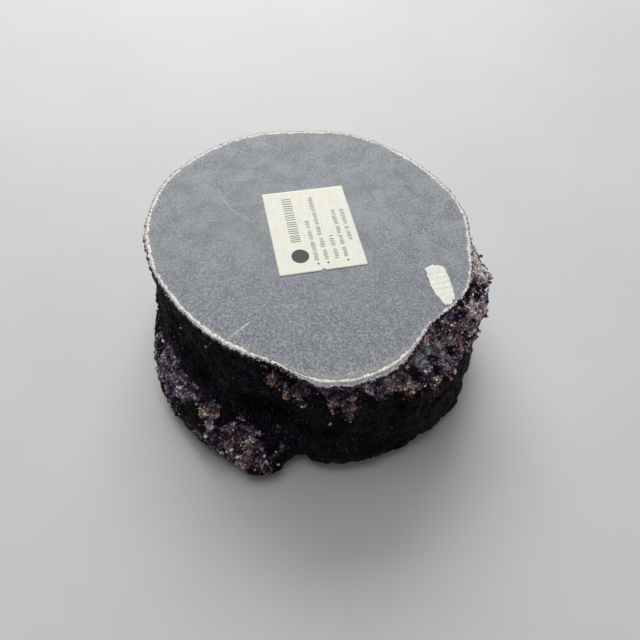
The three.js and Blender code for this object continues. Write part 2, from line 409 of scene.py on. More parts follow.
def crystal_material(name, gloss, smooth, rough):
    """Quartz, clouded inside."""
    shader = Shader(name, Specular_IOR_Level=gloss, IOR=1.54)
    cloud = shader.noise(0.7, 4)
    clouded = shader.ramp(cloud, (0.45, 0.0), (0.7, 0.45))
    shader.set(Base_Color=shader.mix(clouded, quartz_colour(shader), (0.012, 0.008, 0.014)))
    shader.set(Roughness=shader.ramp(cloud, (0.4, smooth), (0.65, rough)))
    shader.bump((shader.noise(0.3, 2), 0.04))
    return shader.material


def paint_material():
    """Matt slate-grey paint: pebbled, clouded bluish and greenish, worn to cream along its edge, and coarser
    and darker towards the front, which is partly painted shade.
    """
    shader = Shader("base_paint", Specular_IOR_Level=0.3)
    pebbles = shader.noise(0.55, 4, 0.7)
    fine = shader.noise(0.2, 2, 0.6)
    clouds = shader.noise(7, 5, 0.62, distortion=0.5)
    areas = shader.noise(24, 4, 0.6, distortion=0.8)
    slate = shader.ramp(
        pebbles, (0.40, (0.135, 0.142, 0.166)), (0.5, (0.235, 0.245, 0.272)), (0.61, (0.40, 0.41, 0.44)))
    greenish = shader.mix(shader.ramp(areas, (0.42, 0.0), (0.62, 0.55)), slate, (0.232, 0.258, 0.252))
    hazy = shader.mix(shader.ramp(clouds, (0.47, 0.0), (0.62, 0.5)), greenish, (0.34, 0.36, 0.41))
    dark = shader.mix(shader.ramp(clouds, (0.36, 0.5), (0.48, 0.0)), hazy, (0.17, 0.177, 0.2))
    grit = shader.noise(0.6, 5, 0.85)
    coarse = shader.ramp(
        grit, (0.38, (0.085, 0.092, 0.118)), (0.5, (0.195, 0.205, 0.24)), (0.62, (0.40, 0.41, 0.43)))
    # coarser, darker grit towards the front: a coarser grain and painted shade
    front_grain_and_shade = shader.mix(shader.attribute("grain_and_shade"), dark, coarse)
    specks = shader.mix(shader.ramp(fine, (0.66, 0.0), (0.8, 0.8)), front_grain_and_shade, (0.55, 0.56, 0.54))
    ragged = shader.ramp(shader.noise(0.6, 6, 0.75), (0.38, 0.0), (0.62, 1.0))
    wear = shader.sum(ragged, 0.9, shader.attribute("edge"))
    yellowed = shader.mix(shader.ramp(wear, (0.5, 0.0), (1.0, 0.35)), specks, (0.46, 0.45, 0.36))
    worn = shader.mix(shader.ramp(wear, (1.05, 0.0), (1.2, 1.0)), yellowed, (0.86, 0.84, 0.72))
    shader.set(Base_Color=worn)
    shader.set(Roughness=shader.ramp(pebbles, (0.35, 0.5), (0.65, 0.72)))
    shader.bump((pebbles, 0.06), (fine, 0.02))
    return shader.material


def mark_material(name, faint, strong):
    """A mark on the paint that comes and goes between two colours."""
    shader = Shader(name, Roughness=0.8)
    shader.set(Base_Color=shader.ramp(shader.noise(0.6, 4), (0.38, faint), (0.6, strong)))
    shader.bump((shader.noise(0.2), 0.02))
    return shader.material


def paper_material(name, light, shade):
    """Matt paper with faint fibres and soft stains."""
    shader = Shader(name, Roughness=0.75, Specular_IOR_Level=0.3)
    fibres = shader.noise(0.5, 5, 0.7, stretch=(1.0, 0.3, 1.0))
    stains = shader.noise(6, 3)
    paper = shader.ramp(fibres, (0.3, shade), (0.6, light))
    shader.set(Base_Color=shader.mix(shader.ramp(stains, (0.5, 0.0), (0.75, 0.25)), paper, shade))
    shader.bump((fibres, 0.03), (stains, 0.1))
    return shader.material


def ink_material():
    """Dark grey ink, thin enough in places for the paper to show."""
    shader = Shader("label_ink", Roughness=0.6)
    speckle = shader.noise(0.3, 4, 0.7)
    patchy = shader.sum(speckle, 0.5, shader.attribute("ink"))
    shader.set(Base_Color=shader.ramp(patchy, (0.35, (0.50, 0.49, 0.45)), (1.2, (0.03, 0.03, 0.03))))
    shader.bump((speckle, 0.01))
    return shader.material


def foil_material():
    """Thin drawn aluminium with fine drawing lines and soft dents."""
    shader = Shader("cup_foil", Metallic=1.0)
    lines = shader.noise(0.4, 3, stretch=(1.0, 1.0, 0.05))
    dents = shader.noise(5, 3)
    shader.set(Base_Color=shader.ramp(lines, (0.3, (0.66, 0.67, 0.68)), (0.7, (0.82, 0.83, 0.84))))
    shader.set(Roughness=shader.ramp(lines, (0.35, 0.22), (0.65, 0.38)))
    shader.bump((dents, 0.12), (lines, 0.01))
    return shader.material


def wax_material():
    """Milky paraffin with a faint mottle."""
    shader = Shader("paraffin", Subsurface_Weight=0.35, Subsurface_Scale=0.004, Roughness=0.42)
    shader.set(Base_Color=shader.ramp(
        shader.noise(3, 4), (0.35, (0.84, 0.82, 0.76)), (0.65, (0.93, 0.91, 0.86))))
    shader.bump((shader.noise(1.5, 4), 0.06))
    return shader.material


def wick_material():
    """Braided cotton stiffened with wax."""
    shader = Shader("cotton_wick", Roughness=0.85)
    braid = shader.noise(0.3, 4, stretch=(1.0, 1.0, 0.5))
    shader.set(Base_Color=shader.ramp(braid, (0.35, (0.62, 0.58, 0.48)), (0.65, (0.88, 0.85, 0.76))))
    shader.bump((braid, 0.05))
    return shader.material


def tin_material():
    """Tinned steel with faint rolling marks."""
    shader = Shader("tinned_steel", Metallic=1.0)
    marks = shader.noise(0.3, 4, stretch=(0.1, 1.0, 1.0))
    shader.set(Base_Color=shader.ramp(marks, (0.3, (0.55, 0.55, 0.54)), (0.7, (0.7, 0.7, 0.69))))
    shader.set(Roughness=shader.ramp(marks, (0.3, 0.3), (0.7, 0.5)))
    shader.bump((marks, 0.01))
    return shader.material


def floor_material():
    """A plain pale surface, very slightly mottled."""
    shader = Shader("pale_floor", Roughness=0.7)
    shader.set(Base_Color=shader.ramp(
        shader.noise(60, 3), (0.3, (0.60, 0.60, 0.60)), (0.7, (0.63, 0.63, 0.63))))
    return shader.material


# ---- The stone ----


def area(angle, z, turn, height, **looks):
    """A place on the wall: its angle, height over the table in mm, half-widths, and its looks.

    A slope among the looks is how far the place climbs, in mm, for each degree to its right.
    """
    return {"angle": angle, "z": z, "turn": turn, "height": height, "slope": 0, **looks}


# Where the wall is broken open. A share is how thickly a place glitters, and a hollow is how far it is
# hollowed out, in mm.
BROKEN = {
    "ledge": area(-34, 36.8, 26, 6.2, share=1.0, hollow=0.5),
    "pale end of the ledge": area(-4, 40.2, 13, 4, share=1.0),
    "lobe": area(-107, 9.5, 14, 5.5, share=1.0),
    "rust over the lobe": area(-119, 16, 5, 2.4, share=1.0),
    "left shoulder": area(-127, 18, 6, 4, share=0.7),
    "left bulge": area(-138, 16, 14, 8, share=0.9),
    "pocket": area(-94, 37.4, 9, 5.4, share=1.0, hollow=1.4),
    "front edge": area(-72, 39.4, 16, 2.4, share=1.0),
    "fissures": area(-76, 33, 5.5, 6.5, share=0.65),
    "under the edge": area(-63, 33, 5, 6, share=0.8),
    "rear lobe": area(62, 9, 18, 8, share=0.9),
    "rear ledge": area(150, 30, 13, 4, share=0.9),
    "right foot": area(-8, 5, 20, 4, share=0.7),
    "left foot": area(190, 6, 16, 4, share=0.7),
}
# Places with a colour of their own, save two dark places, a spot in the ledge and the pocket, whose dark tint
# is painted shade: tint goes from 0, black, to 1, white, and rust from 0 to 1.
TINTED = {
    "ledge": area(-35, 37, 25, 6.5, tint=0.65, rust=0.3),
    "slope's rows": area(-48, 35, 10, 1.8, slope=-0.2, tint=0.57, rust=0.0),
    "upper rows": area(-44, 40.3, 10, 1.1, slope=-0.17, tint=0.66, rust=0.7),
    "lower edge, left": area(-49, 32, 13, 0.8, slope=-0.2, tint=0.82, rust=0.85),
    "lower edge, right": area(-29, 32.6, 10, 1.4, slope=0.4, tint=0.84, rust=0.55),
    "orange vein": area(-22.5, 40.6, 2.6, 1.6, tint=0.88, rust=1.0),
    "cream patch": area(-23, 38.6, 6, 2.4, tint=1.0, rust=0.35),
    # painted shade: a dark tint where the ledge shows a shadowed dip
    "painted shade of a hollow": area(-29, 40.4, 3, 1.2, tint=0.2, rust=0.2),
    "pale end of the ledge": area(-6, 41, 12, 3.4, tint=1.0, rust=0.1),
    "corner": area(-59, 33, 4.5, 2, tint=0.72, rust=0.7),
    "front row": area(-74, 39.4, 12, 1.5, tint=0.54, rust=0.3),
    "right fissure": area(-73, 32, 1.8, 4.5, tint=0.7, rust=0.75),
    "left fissure": area(-79.5, 31.5, 1.8, 3.5, tint=0.64, rust=0.6),
    # painted shade: the pocket's crystals are tinted dark as if in its shadow
    "pocket": area(-93, 37.4, 6, 2.6, tint=0.2, rust=0.3),
    "pocket's left lip": area(-98.5, 34.6, 5, 1.6, slope=-0.8, tint=0.72, rust=0.8),
    "pocket's lower lip": area(-92, 32.8, 4.5, 1.5, slope=0.4, tint=0.72, rust=0.75),
    "pocket's violet roof": area(-87, 40.6, 5, 1.2, slope=-0.35, tint=0.64, rust=0.0),
    "left bulge": area(-137, 15, 14, 8, tint=0.68, rust=0.05),
    "left shoulder": area(-127, 18, 5, 4, tint=0.58, rust=0.1),
    "rust over the lobe": area(-119, 16, 3.5, 1.7, tint=0.76, rust=0.9),
    "lobe": area(-107, 9, 13, 5, tint=0.55, rust=0.45),
}
MEAN_TINT = 0.4
MEAN_RUST = 0.15
# A smooth slate face in the ledge, with hardly any crystals on it.
SLAB = area(-44.5, 37.8, 10.5, 2.2, slope=-0.25)
# Where the crust has hardly any needles.
BARE = area(-60, 14, 22, 16)
ROWS_EVERY = 2.1  # mm between the rows of crystals along the ledge


def near(spot, angle, z):
    """How near points are to a place on the wall: 0 at its middle, 1 at its half-widths."""
    across = turn_between(angle, spot["angle"])
    up = z / MM - spot["z"] - spot["slope"] * across
    return np.hypot(across / spot["turn"], up / spot["height"])


def broken_wall(points):
    """How far the wall is broken open to quartz at each point, from 0 to 1, and its hollows in mm."""
    angle, _ = polar(points)
    share = np.zeros(len(points))
    hollow = np.zeros(len(points))
    ragged = 0.7 * fractal(points, 5, shift=3.1)
    for spot in BROKEN.values():
        off = near(spot, angle, points[:, 2])
        share = np.maximum(share, spot["share"] * (1 - smoothstep(0.7, 1.15, off + ragged)))
        hollow = np.maximum(hollow, spot.get("hollow", 0) * (1 - smoothstep(0.3, 0.9, off)))
    return share, hollow


def quartz_looks(points, spread):
    """The quartz's tint and rust at points: clusters, the places in TINTED, and a spread of numbers."""
    angle, _ = polar(points)
    rows = 0.08 * np.sin(2 * np.pi * points[:, 2] / (ROWS_EVERY * MM) + angle / 9)
    clusters = rows + 0.5 * fractal(points, 3.0, shift=6.6) + spread
    stains = 0.9 * fractal(points, 1.8, shift=9.4)
    tint = MEAN_TINT + clusters
    rust = MEAN_RUST + stains
    for spot in TINTED.values():
        strength = np.exp(-near(spot, angle, points[:, 2]) ** 2)
        tint += strength * (spot["tint"] + 0.8 * clusters - tint)
        rust += strength * (spot["rust"] + 0.8 * stains - rust)
    return {"tint": np.clip(tint, 0, 1), "rust": np.clip(rust, 0, 1)}


def remeshed_stone(voxel):
    """The CAD stone with its surface divided evenly."""
    blank = add_object("stone_blank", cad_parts["amethyst_stone"].data.copy())
    remesh = blank.modifiers.new("Remesh", "REMESH")
    remesh.mode = "VOXEL"
    remesh.voxel_size = voxel
    relax = blank.modifiers.new("Relax", "SMOOTH")
    relax.iterations = 3
    mesh = with_modifiers(blank)
    mesh.materials.clear()
    bpy.data.objects.remove(blank)
    return mesh


def slab_share(points):
    """How far points belong to the smooth face in the ledge, from 0 to 1."""
    angle, _ = polar(points)
    ragged = 0.5 * fractal(points, 4, 3, shift=1.9)
    return 1 - smoothstep(0.75, 1.05, near(SLAB, angle, points[:, 2]) + ragged)


def stone_body():
    """The stone with a rough crust, broken places and a clean socket."""
    mesh = remeshed_stone((0.66) * MM)
    points = coordinates(mesh)
    outward = normals(mesh)
    _, radius = polar(points)
    depth = SAWN_Z - points[:, 2]
    near_socket = points[:, 2] < SOCKET_DEPTH + 1 * MM
    drilled = smoothstep(SOCKET_RADIUS + 1.5 * MM, SOCKET_RADIUS + 0.5 * MM, radius) * near_socket
    underside = smoothstep(-0.2, -0.7, outward[:, 2]) * (points[:, 2] < 8 * MM) * (1 - drilled)
    broken, hollow = broken_wall(points)
    broken = np.maximum(broken, underside)
    slab = slab_share(points)

    upright = points * [1, 1, 0.3]  # noise in these places runs in streaks down the wall
    crust = 0.85 * fractal(points, 7) + 0.35 * fractal(points, 2.6, shift=2.7)
    crust += 0.35 * fractal(upright, 1.3, shift=5.7) - 0.3
    large, _ = facets(points, 3.6)
    small, cell = facets(points, 1.5, shift=4.2)
    rough = 0.9 * small + 0.5 * fractal(points, 0.9, shift=1.1)
    chipped = 1.3 * large * (1 - 0.6 * slab) + rough * (1 - 0.85 * slab) - 0.5 - hollow
    lift = crust * (1 - broken) + chipped * broken
    lift = lift * MM * smoothstep(0.3 * MM, 3.5 * MM, depth) * (1 - drilled)
    points = points + outward * lift[:, None]
    points[:, 2] += underside * 1.6 * MM
    points[:, 2] = np.maximum(points[:, 2], 0.0)
    set_coordinates(mesh, points)

    looks = {"broken": broken, "slab": slab * broken, "druse": smoothstep(0.25, 0.75, broken)}
    set_looks(mesh, looks | quartz_looks(points, 0.5 * (cell - 0.5)))
    mesh.shade_flat()
    return mesh


# The sawn edge's section, from under the paint to down the wall, as if it were 1 mm wide: how far out
# from the paint's outline and how far below the paint, in mm. Its last points close it in the stone.
EDGE_SECTION = [
    (-1.2, 0.5), (-0.5, 0.22), (-0.2, 0.1), (0.05, 0.06), (0.25, 0.05), (0.45, 0.06), (0.65, 0.09),
    (0.82, 0.16), (0.93, 0.34), (0.98, 0.6), (1.0, 0.95), (0.95, 1.4), (0.8, 1.7), (0.2, 1.9), (-1.2, 1.4),
]
EDGE_CLOSED_FROM = 12  # the index of the first point inside the stone
EDGE_WIDTH = 1.3  # mm
# Where the sawn edge is wider or narrower, by how much in mm. At the front a grey band of bare stone
# runs between two pale lines.
FRONT = {"angle": -72, "turn": 20, "wider": 0.75}
POCKET = {"angle": -95, "turn": 7, "wider": -0.65}
LEDGE = {"angle": -31, "turn": 20, "wider": -0.6}


def change_share(change, angle):
    """How far an angle lies in a place where the sawn edge changes, from 0 to 1."""
    return np.exp(-((turn_between(angle, change["angle"]) / change["turn"]) ** 4))


def edge_width(angle):
    """How far the sawn edge reaches out from the paint's outline, in mm."""
    changes = (FRONT, POCKET, LEDGE)
    return EDGE_WIDTH + sum(change["wider"] * change_share(change, angle) for change in changes)


def edge_rows(angle):
    """The sawn edge's points: a ragged row round the stone for each point of its section."""
    around = place(angle, BASE_RADIUS, PAINT_TOP)
    width = edge_width(angle)
    width += 0.5 * fractal(around, 3.2, shift=1.3) + 0.45 * fractal(around, 0.8, shift=3.4)
    width = np.maximum(width, 0.3)
    shallow = np.clip(0.3 + 0.7 * width / EDGE_WIDTH, 0.5, 1.1)
    rows = []
    for k, (out, down) in enumerate(EDGE_SECTION):
        outside = out > 0
        reach = out * width if outside else out
        deep = down * shallow if outside and down > 0.25 else down
        below = place(angle, BASE_RADIUS, down * MM)
        knobs = 0.5 * max(0.0, down - 0.3) * fractal(below, 1.2, 3, shift=2.9)
        points = place(angle, paint_edge(angle) + (reach + knobs * outside) * MM, PAINT_TOP - deep * MM)
        free = max(0.0, min(1.0, (out - 0.1) / 0.4)) * (k < EDGE_CLOSED_FROM)
        rough = 0.18 * fractal(points, 1.1, 3, shift=8.1) + 0.16 * fractal(points, 0.4, 3, shift=4.9)
        points[:, 2] = np.minimum(points[:, 2] + rough * free * MM, PAINT_TOP - 0.03 * MM)
        rows.append(points)
    return rows


def sawn_edge():
    """The ground edge of the sawn face: a ring round the paint with a ragged, chipped outside."""
    steps = 1440
    angle = 360 * np.arange(steps) / steps - 180
    count = len(EDGE_SECTION)
    faces = flipped(tube_faces(count, steps, closed=True))
    mesh = mesh_from("sawn_edge", np.concatenate(edge_rows(angle)), faces, smooth=False)
    out, down = np.repeat(np.array(EDGE_SECTION), steps, axis=0).T
    band = np.exp(-(((out - 0.5) / 0.22) ** 4)) * np.tile(change_share(FRONT, angle), count)
    down = np.clip((down - 0.12) / 0.5, 0, 1.2)
    set_looks(mesh, {"outwards": np.clip(out, 0, 1), "downwards": down, "band": 0.85 * band})
    return mesh


def scatter(mesh, weights, spacing, tries, random):
    """Random places on a mesh, no two closer than a spacing: points and their normals."""
    mesh.calc_loop_triangles()
    corners = np.zeros(len(mesh.loop_triangles) * 3, int)
    mesh.loop_triangles.foreach_get("vertices", corners)
    corners = corners.reshape(-1, 3)
    points = coordinates(mesh)
    a, b, c = (points[corners[:, k]] for k in range(3))
    chance = np.linalg.norm(np.cross(b - a, c - a), axis=1) * weights[corners].mean(1) ** 2
    picked = random.choice(len(corners), tries, p=chance / chance.sum())
    u, v = random.random((2, tries))
    over = u + v > 1
    u[over], v[over] = 1 - u[over], 1 - v[over]
    spots = a[picked] + u[:, None] * (b - a)[picked] + v[:, None] * (c - a)[picked]
    directions = normals(mesh)[corners[picked]].mean(1)
    kept, grid = [], {}
    for i, cell in enumerate(map(tuple, np.floor(spots / spacing).astype(int))):
        close = [
            j
            for dx in (-1, 0, 1) for dy in (-1, 0, 1) for dz in (-1, 0, 1)
            for j in grid.get((cell[0] + dx, cell[1] + dy, cell[2] + dz), ())
        ]
        if all(np.sum((spots[i] - spots[j]) ** 2) > spacing**2 for j in close):
            kept.append(i)
            grid.setdefault(cell, []).append(i)
    return spots[kept], units(directions[kept])


def crystal_points(name, spots, directions, radius, length, looks, random, lean=0.35, sink=0.45):
    """Six-sided quartz points that stand on places, leaning at random, each with its own looks."""
    count, sides = len(spots), 6
    up = units(directions + lean * random.normal(size=(count, 3)))
    side = units(np.cross(up, random.normal(size=(count, 3))))
    other = np.cross(up, side)
    a = 2 * np.pi * np.arange(sides) / sides
    foot = spots - up * (length * sink)[:, None]

    def ring(share, width):
        """One six-cornered ring at a share of the length."""
        reach = (radius[:, None] * width)[..., None]
        flat = np.cos(a)[None, :, None] * side[:, None] + np.sin(a)[None, :, None] * other[:, None]
        return foot[:, None] + reach * flat + (length[:, None] * share)[..., None] * up[:, None]

    uneven = 1 + 0.18 * random.normal(size=(count, sides))
    low = ring(np.zeros((count, sides)), uneven)
    shoulder = ring(0.55 + 0.1 * random.normal(size=(count, sides)), 0.92 * uneven)
    off = 0.25 * radius[:, None] * random.normal(size=(count, 2))
    tip = foot + up * length[:, None] + off[:, :1] * side + off[:, 1:] * other
    vertices = np.concatenate([low, shoulder, tip[:, None]], axis=1).reshape(-1, 3)
    per = 2 * sides + 1
    pattern = [tuple(range(sides))[::-1]]
    for k in range(sides):
        after = (k + 1) % sides
        pattern.append((k, after, sides + after, sides + k))
        pattern.append((sides + k, sides + after, 2 * sides))
    faces = [tuple(i * per + k for k in face) for i in range(count) for face in pattern]
    mesh = mesh_from(name, vertices, faces, smooth=False)
    set_looks(mesh, looks, per)
    return mesh


def chip_shape(random, corners=9):
    """A small irregular convex stone: its corners, on a unit ball, and its triangles."""
    mesh = bmesh.new()
    for point in units(random.normal(size=(corners, 3))):
        mesh.verts.new(point)
    bmesh.ops.convex_hull(mesh, input=mesh.verts)
    bmesh.ops.recalc_face_normals(mesh, faces=mesh.faces)
    mesh.verts.index_update()
    points = np.array([v.co[:] for v in mesh.verts])
    faces = [[v.index for v in face.verts] for face in mesh.faces]
    mesh.free()
    return points, faces


def chips(name, spots, size, looks, random, shapes=14):
    """Irregular chips of quartz at places, turned at random, each with its own looks."""
    library = [chip_shape(random) for _ in range(shapes)]
    corners = len(library[0][0])
    count = len(spots)
    first = units(random.normal(size=(count, 3)))
    second = units(np.cross(first, random.normal(size=(count, 3))))
    turned = np.stack([first, second, np.cross(first, second)], axis=1)
    stretch = size[:, None] * random.uniform([0.9, 0.6, 0.45], [1.3, 1.0, 0.85], (count, 3))
    kind = random.integers(shapes, size=count)
    shape = np.array([points for points, _ in library])[kind]
    vertices = spots[:, None] + np.einsum("nck,nkd->ncd", shape * stretch[:, None], turned)
    faces = [[i * corners + k for k in face] for i in range(count) for face in library[kind[i]][1]]
    mesh = mesh_from(name, vertices.reshape(-1, 3), faces, smooth=False)
    set_looks(mesh, looks, corners)
    return mesh


def keep_inside(mesh):
    """Holds a mesh inside the CAD model's box."""
    low, high = (np.array(corner) for corner in cad_box)
    set_coordinates(mesh, np.clip(coordinates(mesh), low, high))
    return mesh


def keep_off_socket(mesh):
    """Holds a mesh outside the socket's bore."""
    points = coordinates(mesh)
    angle, radius = polar(points)
    set_coordinates(mesh, place(angle, np.maximum(radius, SOCKET_RADIUS), points[:, 2]))
    return mesh


def on_wall(body):
    """Which points of the stone are on its wall: not at the paint, in the socket or underneath."""
    points = coordinates(body)
    angle, radius = polar(points)
    sawn = radius < paint_edge(angle) + 0.75 * edge_width(angle) * MM
    top = sawn & (points[:, 2] > PAINT_TOP - 1.3 * MM)
    inside = radius < SOCKET_RADIUS + 3 * MM
    return ~top & ~inside & (normals(body)[:, 2] > -0.45)


def quartz_weights(body):
    """Where crystals grow: the broken places on the wall, less so on the smooth face."""
    return read_attribute(body, "broken") * on_wall(body) * (1 - 0.9 * read_attribute(body, "slab"))


def spread_and_painted_sparkle(count, spread, random):
    """Random additions to a tint: a spread, and now and then a bright one, which is a painted highlight
    standing in for a glint.
    """
    return spread * random.normal(size=count) + 0.3 * (random.random(count) < 0.08)


def wall_crystals(body, random):
    """Small quartz points on the broken places."""
    spots, directions = scatter(body, quartz_weights(body), 0.95 * MM, 12000, random)
    count = len(spots)
    radius = (0.24 + 0.45 * random.random(count) ** 2) * MM
    length = radius * (1.7 + 1.0 * random.random(count))
    looks = quartz_looks(spots, spread_and_painted_sparkle(count, 0.14, random))
    return crystal_points("wall", spots, directions, radius, length, looks, random, lean=0.55, sink=0.62)


def wall_chips(body, random):
    """Chips of every size packed between the points."""
    spots, directions = scatter(body, quartz_weights(body), 0.5 * MM, 26000, random)
    count = len(spots)
    size = (0.2 + 0.45 * random.random(count) ** 3) * MM
    looks = quartz_looks(spots, spread_and_painted_sparkle(count, 0.16, random))
    return chips("chips", spots + 0.15 * directions * size[:, None], size, looks, random)


def crust_needles(body, random):
    """Fine needles that lie down the dark crust and catch the light, in drifts."""
    points = coordinates(body)
    angle, _ = polar(points)
    drifts = smoothstep(-0.05, 0.6, fractal(points, 9, 4, shift=7.7)) + 0.05
    bare = np.exp(-near(BARE, angle, points[:, 2]) ** 4)
    weights = drifts * (1 - 0.8 * bare) * (1 - read_attribute(body, "broken")) * on_wall(body)
    spots, outward = scatter(body, weights, 0.6 * MM, 8000, random)
    count = len(spots)
    down = units([0, 0, -1] + outward * outward[:, 2:])
    radius = (0.08 + 0.09 * random.random(count) ** 2) * MM
    length = (0.6 + 0.9 * random.random(count)) * MM
    looks = {
        "tint": np.clip(0.38 + 0.09 * random.normal(size=count), 0, 0.62),
        "rust": np.clip(0.25 + 0.15 * random.normal(size=count), 0, 0.7),
    }
    directions = units(down + 0.3 * outward)
    return crystal_points("needles", spots, directions, radius, length, looks, random, lean=0.45)


# Quartz points tinted nearly white where the dark wall shows glints, painted highlights: angle, height and
# radius, in degrees and mm.
PAINTED_GLINTS = [
    (-107.6, 9.9, 0.62), (-105.4, 9.4, 0.55), (-98.4, 9.1, 0.75), (-94, 6.5, 0.42), (-104.4, 11.4, 0.4),
    (-108.5, 6.2, 0.4), (-132, 15, 0.45), (-135, 12.6, 0.4), (-128.7, 6.0, 0.45), (-137.6, 34, 0.3),
    (-123.4, 37.2, 0.35), (-118.6, 15.6, 0.5), (-79, 22.5, 0.5),
]


def painted_glints(body, random):
    """A few quartz points at known places on the wall, tinted nearly white: painted highlights where glints
    shine.
    """
    points = coordinates(body)
    angle, _ = polar(points)
    spots = []
    mm_per_degree = 0.9
    for at, z, _ in PAINTED_GLINTS:
        off = np.hypot(turn_between(angle, at) * mm_per_degree, points[:, 2] / MM - z)
        spots.append(points[off.argmin()])
    spots = np.array(spots)
    outward = units((spots - [AXIS.x, AXIS.y, 0]) * [1, 1, 0]) + [0, 0, 0.7]
    radius = np.array([size for _, _, size in PAINTED_GLINTS]) * MM
    # nearly white tint: painted highlights
    looks = {"tint": np.full(len(spots), 0.97), "rust": 0.3 * random.random(len(spots))}
    spots = spots + 0.5 * radius[:, None] * outward
    return crystal_points("painted_glints", spots, outward, radius, 2 * radius, looks, random, lean=0.1)


def underside_crystals(body, random):
    """Bigger crystals all over the side that faces the table."""
    points = coordinates(body)
    angle, radius_at = polar(points)
    low = points[:, 2] < 9 * MM
    sectors = 60
    sector = np.floor((angle + 180) * sectors / 360).astype(int) % sectors
    wall = np.array([radius_at[low & (sector == k)].max() for k in range(sectors)])
    wall = np.minimum(wall, np.minimum(np.roll(wall, 1), np.roll(wall, -1)))
    inside = (radius_at > SOCKET_RADIUS + 2.2 * MM) & (radius_at < wall[sector] - 3 * MM)
    weights = smoothstep(0.4, 0.8, -normals(body)[:, 2]) * low * inside
    spots, directions = scatter(body, weights, 1.6 * MM, 12000, random)
    count = len(spots)
    radius = (0.9 + 1.2 * random.random(count) ** 2) * MM
    length = radius * (1.7 + 0.9 * random.random(count))
    tint = 0.42 + 0.14 * random.normal(size=count) + 0.2 * fractal(spots, 9, 3)
    rust = 0.1 + 0.4 * fractal(spots, 6, 3, shift=2.2)
    looks = {"tint": np.clip(tint, 0, 0.75), "rust": np.clip(rust, 0, 0.6)}
    made = crystal_points("underside", spots, directions, radius, length, looks, random, lean=0.22)
    return keep_off_socket(made)


def edge_grains(random):
    """Small pale blocks of quartz along the sawn edge, which make its line jagged."""
    count = 1500
    angle = 360 * random.random(count) - 180
    out = edge_width(angle) * (0.15 + 0.95 * random.random(count))
    down = 0.16 + 0.7 * np.maximum(0, out - 0.8 * edge_width(angle))
    spots = place(angle, paint_edge(angle) + out * MM, PAINT_TOP - down * MM)
    size = (0.1 + 0.2 * random.random(count) ** 2) * MM
    tint = 0.93 + 0.06 * random.normal(size=count) - 0.25 * (random.random(count) < 0.25)
    looks = {"tint": np.clip(tint, 0, 1), "rust": 0.4 * random.random(count)}
    return chips("grains", spots, size, looks, random)


def make_stone():
    random = np.random.default_rng(SEED)
    body = stone_body()
    glassy = crystal_material("amethyst_points", gloss=0.5, smooth=0.16, rough=0.5)
    dull = crystal_material("dull_needles", gloss=0.2, smooth=0.45, rough=0.8)
    piece("stone_body", body, stone_material(), ["amethyst_stone"])
    for name, make, material in (
        ("wall_crystals", wall_crystals, glassy), ("wall_chips", wall_chips, glassy),
        ("crust_needles", crust_needles, dull), ("painted_glint_points", painted_glints, glassy),
        ("underside_crystals", underside_crystals, glassy),
    ):
        piece(name, keep_inside(make(body, random)), material)
    piece("sawn_edge", keep_inside(sawn_edge()), sawn_material())
    piece("edge_grains", keep_inside(edge_grains(random)), glassy)


# ---- The painted base ----


def painted_base():
    """The paint film: flat, with a ragged outline that is worn pale."""
    steps = 1080
    angle = 360 * np.arange(steps) / steps - 180
    around = place(angle, BASE_RADIUS, PAINT_TOP)
    ragged = 0.4 * fractal(around, 2.6) + 0.4 * fractal(around, 0.7, 3, shift=4.4)
    edge = paint_edge(angle) + (0.15 + ragged) * MM
    shoulder = [(0.0, 0.1), (0.1, 0.03)]  # in from the edge, and down
    inner = [0.3, 0.7, 1.2, 1.8, 2.6, 3.6, 5.0, 7.0, 10.0, 14.0, 19.0, 25.0, 31.0, 37.0]
    profile = [(0.0, 0.35)] + shoulder + [(step, 0.0) for step in inner]
    vertices = [place(angle, edge - step * MM, PAINT_TOP - drop * MM) for step, drop in profile]
    rows = len(profile)
    centre = [[AXIS.x, AXIS.y, PAINT_TOP], [AXIS.x, AXIS.y, PAINT_TOP - 0.35 * MM]]
    points = np.concatenate([*vertices, centre])
    hub = rows * steps
    ends = fan_faces(hub - steps, steps, hub) + flipped(fan_faces(0, steps, hub + 1))
    mesh = mesh_from("painted_base", points, tube_faces(rows, steps) + ends)
    in_from_edge = np.repeat([step for step, _ in profile], steps)
    worn_width = np.tile(0.9 + 2.0 * change_share(FRONT, angle), rows)
    worn = np.append(np.clip(1 - in_from_edge / worn_width, 0, 1), [0, 0])
    # towards the front the paint is coarser and darker: partly painted shade
    towards_front = smoothstep(22 * MM, -38 * MM, points[:, 1] + 4 * MM * fractal(points, 14))
    set_looks(mesh, {"edge": worn, "grain_and_shade": 0.8 * towards_front})
    return mesh


# Marks on the paint: their width and their points from the base's middle, in mm.
SCUFFS = [
    (0.8, [(-30.2, 15.0), (-27.8, 10.7), (-24.8, 6.6), (-21.3, 4.0), (-17.3, 2.3)]),
    (0.5, [(-37.0, -10.9), (-34.6, -8.3), (-32.0, -5.2)]),
    (0.25, [(-28.5, -14.1), (-28.6, -17.9), (-28.4, -21.1)]),
    (0.5, [(24.0, 16.0), (28.0, 17.6), (32.0, 17.0)]),
    (0.4, [(6.0, 30.0), (12.0, 31.6), (19.0, 30.6)]),
    (0.45, [(32.9, 0.6), (37.2, -1.4), (40.8, -3.9)]),
    (0.2, [(-4.0, -24.0), (1.5, -26.4), (7.0, -26.0)]),
]
LINT = [
    (0.6, [(-17.6, -37.4), (-13.2, -32.2)]),
    (0.24, [(18.4, -38.9), (18.8, -40.2), (18.6, -42.0)]),
    (0.5, [(3.0, -36.3), (3.5, -36.1)]),
    (0.42, [(-16.5, -38.9), (-16.1, -38.7)]),
    (0.2, [(12.8, -46.1), (12.5, -44.9), (13.1, -44.2), (13.7, -44.6), (13.4, -45.4)]),
    (0.22, [(5.4, -44.5), (6.7, -44.6)]),
    (0.3, [(1.3, -41.3), (1.5, -40.9)]),
    (0.3, [(21.6, -22.6), (22.4, -21.9), (23.0, -21.5)]),
]


